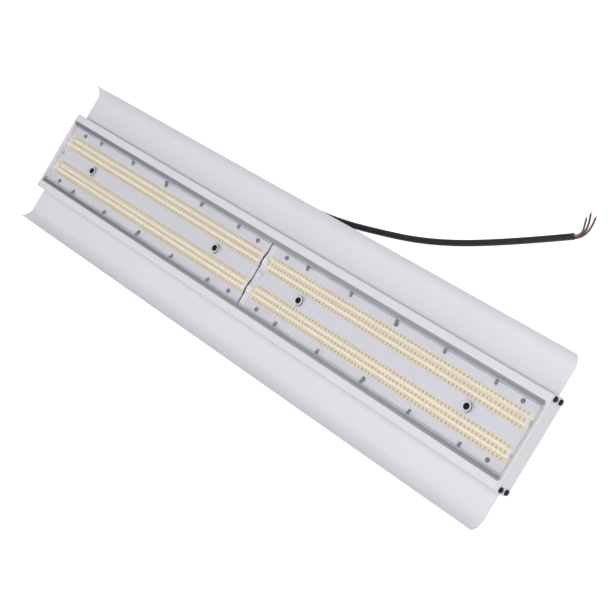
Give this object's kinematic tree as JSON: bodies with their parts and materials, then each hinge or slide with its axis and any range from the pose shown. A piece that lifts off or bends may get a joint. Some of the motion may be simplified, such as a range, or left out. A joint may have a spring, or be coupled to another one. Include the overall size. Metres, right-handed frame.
{
  "type": "linear LED high bay light",
  "caption": "White linear LED high bay light lying on its back: clear ribbed lens over LED boards, curled wing reflectors, end caps and a bare-ended black supply cord.",
  "frame": {"origin": "middle of the footprint, at the level of the driver box's back", "axes": "+X along the light towards the near end cap, +Y across it towards the side where the cord lies, +Z out of the lens"},
  "size_m": [0.9116, 0.3695, 0.0638],
  "materials": {
    "white_paint": "satin powder coat over extruded aluminium and sheet",
    "white_steel": "satin powder coat over steel sheet",
    "bracket_steel": "zinc plated",
    "black_screw": "blackened",
    "zinc_screw": "zinc plated",
    "board": "white solder mask over aluminium",
    "led": "pale yellow phosphor",
    "white_plastic": "satin",
    "lens": "clear, polished",
    "seal": "matt",
    "driver_case": "satin",
    "gland": "satin black",
    "cord": "satin black",
    "core_red": "satin",
    "core_teal": "satin",
    "core_green": "satin"
  },
  "bodies": {
    "root": {"housing": "white_paint", "wing_left": "white_paint", "wing_right": "white_paint", "end_cap_near": "white_paint", "end_cap_far": "white_paint", "end_cap_screws_near": "black_screw", "end_cap_screws_far": "black_screw", "lens_screws": "black_screw", "wing_screws": "zinc_screw", "driver_box_screws": "zinc_screw", "bracket_screws": "zinc_screw", "driver_screws": "zinc_screw", "led_board_near": "board", "led_board_far": "board", "led_rows_near": "led", "led_rows_far": "led", "board_links": "white_plastic", "end_connectors": "white_plastic", "inlet_connector": "white_plastic", "lens_near": "lens", "lens_far": "lens", "lens_seal_left": "seal", "lens_seal_right": "seal", "driver_box": "white_steel", "driver_box_lid": "white_steel", "hanging_bracket_near": "bracket_steel", "hanging_bracket_far": "bracket_steel", "led_driver": "driver_case", "driver_standoffs": "zinc_screw", "terminal_block": "white_plastic", "inner_cord": "cord", "driver_cable": "cord", "output_lead": "cord", "wire_grommet": "seal", "cable_gland_body": "gland", "cable_gland_nut": "gland", "gland_locknut": "gland", "gland_bush": "seal", "supply_cord": "cord", "core_live": "core_red", "core_neutral": "core_teal", "core_earth": "core_green"}
  },
  "joints": []
}
